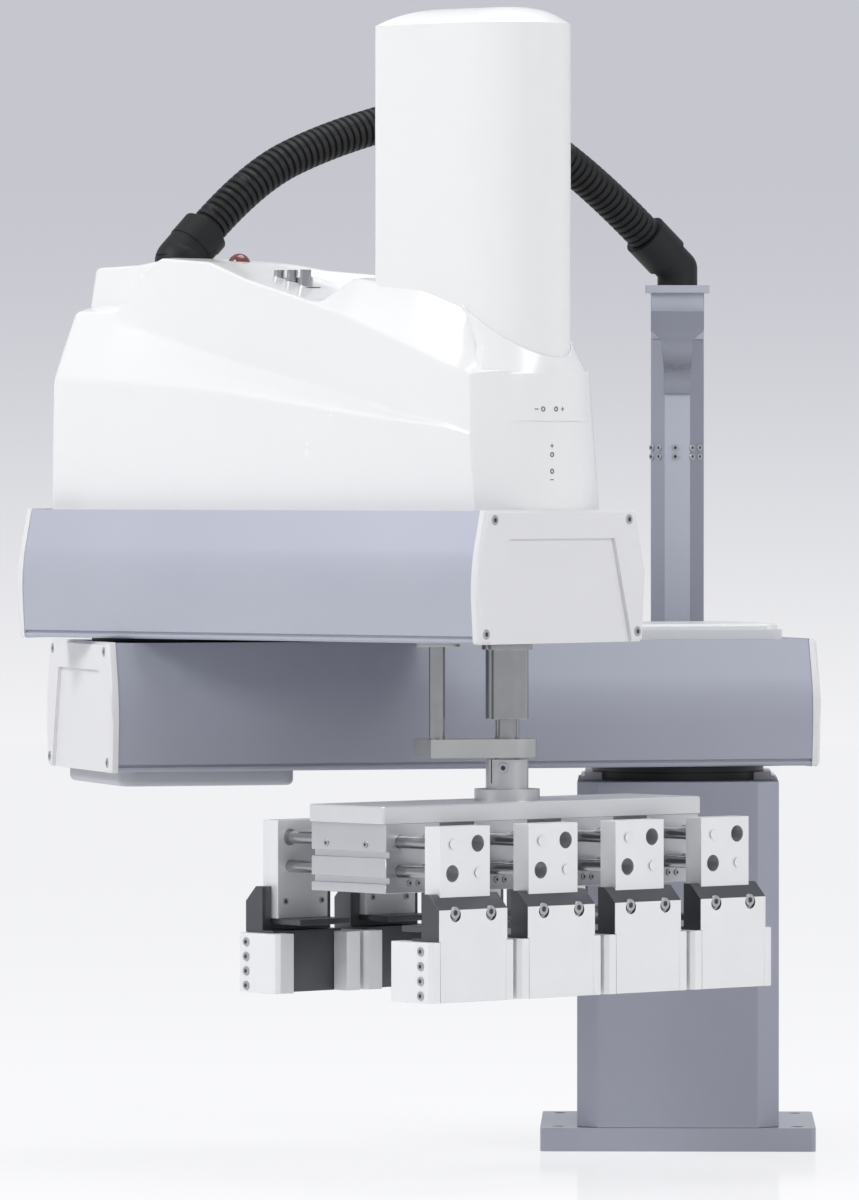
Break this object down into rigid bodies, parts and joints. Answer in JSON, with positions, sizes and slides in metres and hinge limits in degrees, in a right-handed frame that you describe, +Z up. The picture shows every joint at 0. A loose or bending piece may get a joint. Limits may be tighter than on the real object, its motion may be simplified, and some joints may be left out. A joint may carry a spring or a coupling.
{
  "type": "scara robot",
  "caption": "SCARA robot with a box base, two turning arms, a sliding and turning shaft, and a row of parallel grippers, with a corrugated conduit to a rear post.",
  "frame": {"origin": "on the arm 1 axis, at the underside of the base plate", "axes": "+Z up along the arm 1 axis, +X to the viewer's right, +Y away from the viewer towards the duct post"},
  "size_m": [0.8341, 0.9432, 1.1779],
  "materials": {
    "base_paint": "textured grey powder coat",
    "black_paint": "black anodised, satin",
    "satin_aluminium": "satin anodised",
    "machined_aluminium": "machined and clear anodised",
    "cast_white": "light grey, satin",
    "white_housing": "white, semi-gloss",
    "black_plastic": "black, satin",
    "steel": "turned",
    "ground_steel": "ground and hard chromed",
    "chrome_fitting": "polished",
    "belt_rubber": "toothed belt, matt",
    "red_lens": "dark red moulded lens",
    "finger_polymer": "dark grey machined polymer, satin"
  },
  "bodies": {
    "base": {"base_plate": "base_paint", "base_column": "base_paint", "base_deck": "base_paint", "j1_reducer": "black_paint", "j1_motor": "black_paint", "post_bracket": "base_paint", "connector_panel": "base_paint", "duct_post": "satin_aluminium", "post_head": "satin_aluminium", "post_fitting": "black_plastic", "conduit": "black_plastic"},
    "arm1": {"arm1_beam": "satin_aluminium", "arm1_rear_cap": "cast_white", "arm1_front_cap": "cast_white", "arm1_top_cover": "satin_aluminium", "arm1_bottom_cover": "satin_aluminium", "j1_output": "steel", "j2_reducer": "black_paint", "cover_fitting": "black_plastic"},
    "arm2": {"arm2_beam": "satin_aluminium", "arm2_rear_cap": "cast_white", "arm2_front_cap": "cast_white", "arm2_cover": "white_housing", "z_tower": "white_housing", "z_tower_cap": "white_housing", "front_collar": "white_housing", "indicator_lamp": "red_lens", "air_plate": "black_plastic", "air_fittings": "chrome_fitting", "j2_motor": "black_paint", "u_motor": "black_paint", "z_motor": "black_paint", "spline_nut": "steel", "ball_nut": "steel", "drive_belts": "belt_rubber", "spline_sleeve": "satin_aluminium", "guide_bush": "satin_aluminium"},
    "z_carriage": {"torque_arm": "machined_aluminium", "guide_rod": "ground_steel"},
    "tool": {"spline_shaft": "ground_steel", "tool_clamp": "machined_aluminium", "tool_plate": "machined_aluminium", "gripper_bodies": "machined_aluminium"},
    "front_jaw_pair_1": {"front_jaw_1": "machined_aluminium", "front_finger_1": "finger_polymer"},
    "rear_jaw_pair_1": {"rear_jaw_1": "machined_aluminium", "rear_finger_1": "finger_polymer"},
    "front_jaw_pair_2": {"front_jaw_2": "machined_aluminium", "front_finger_2": "finger_polymer"},
    "rear_jaw_pair_2": {"rear_jaw_2": "machined_aluminium", "rear_finger_2": "finger_polymer"},
    "front_jaw_pair_3": {"front_jaw_3": "machined_aluminium", "front_finger_3": "finger_polymer"},
    "rear_jaw_pair_3": {"rear_jaw_3": "machined_aluminium", "rear_finger_3": "finger_polymer"},
    "front_jaw_pair_4": {"front_jaw_4": "machined_aluminium", "front_finger_4": "finger_polymer"},
    "rear_jaw_pair_4": {"rear_jaw_4": "machined_aluminium", "rear_finger_4": "finger_polymer"}
  },
  "joints": [
    {"name": "j1_turn", "type": "hinge", "parent": "base", "child": "arm1", "pos_m": [0, 0, 0.4], "axis": [0, 0, 1], "range_deg": [-43, 187], "deforming": ["conduit"]},
    {"name": "j2_turn", "type": "hinge", "parent": "arm1", "child": "arm2", "pos_m": [-0.52308, -0.16996, 0.54], "axis": [0, 0, 1], "range_deg": [-248, 2]},
    {"name": "z_slide", "type": "slide", "parent": "arm2", "child": "z_carriage", "axis": [0, 0, 1], "range_m": [-0.185, 0.015]},
    {"name": "shaft_turn", "type": "hinge", "parent": "z_carriage", "child": "tool", "pos_m": [-0.17336, -0.45315, 0.4], "axis": [0, 0, 1], "range_deg": [-360, 360]},
    {"name": "front_jaw_slide_1", "type": "slide", "parent": "tool", "child": "front_jaw_pair_1", "axis": [0.6947, -0.7193, 0], "range_m": [-0.04, 0.01]},
    {"name": "rear_jaw_slide_1", "type": "slide", "parent": "tool", "child": "rear_jaw_pair_1", "axis": [-0.6947, 0.7193, 0], "range_m": [-0.04, 0.01]},
    {"name": "front_jaw_slide_2", "type": "slide", "parent": "tool", "child": "front_jaw_pair_2", "axis": [0.6947, -0.7193, 0], "range_m": [-0.04, 0.01]},
    {"name": "rear_jaw_slide_2", "type": "slide", "parent": "tool", "child": "rear_jaw_pair_2", "axis": [-0.6947, 0.7193, 0], "range_m": [-0.04, 0.01]},
    {"name": "front_jaw_slide_3", "type": "slide", "parent": "tool", "child": "front_jaw_pair_3", "axis": [0.6947, -0.7193, 0], "range_m": [-0.04, 0.01]},
    {"name": "rear_jaw_slide_3", "type": "slide", "parent": "tool", "child": "rear_jaw_pair_3", "axis": [-0.6947, 0.7193, 0], "range_m": [-0.04, 0.01]},
    {"name": "front_jaw_slide_4", "type": "slide", "parent": "tool", "child": "front_jaw_pair_4", "axis": [0.6947, -0.7193, 0], "range_m": [-0.04, 0.01]},
    {"name": "rear_jaw_slide_4", "type": "slide", "parent": "tool", "child": "rear_jaw_pair_4", "axis": [-0.6947, 0.7193, 0], "range_m": [-0.04, 0.01]}
  ],
  "couplings": [
    {"joint": "rear_jaw_slide_1", "follows": "front_jaw_slide_1", "ratio": 1},
    {"joint": "rear_jaw_slide_2", "follows": "front_jaw_slide_2", "ratio": 1},
    {"joint": "rear_jaw_slide_3", "follows": "front_jaw_slide_3", "ratio": 1},
    {"joint": "rear_jaw_slide_4", "follows": "front_jaw_slide_4", "ratio": 1}
  ]
}
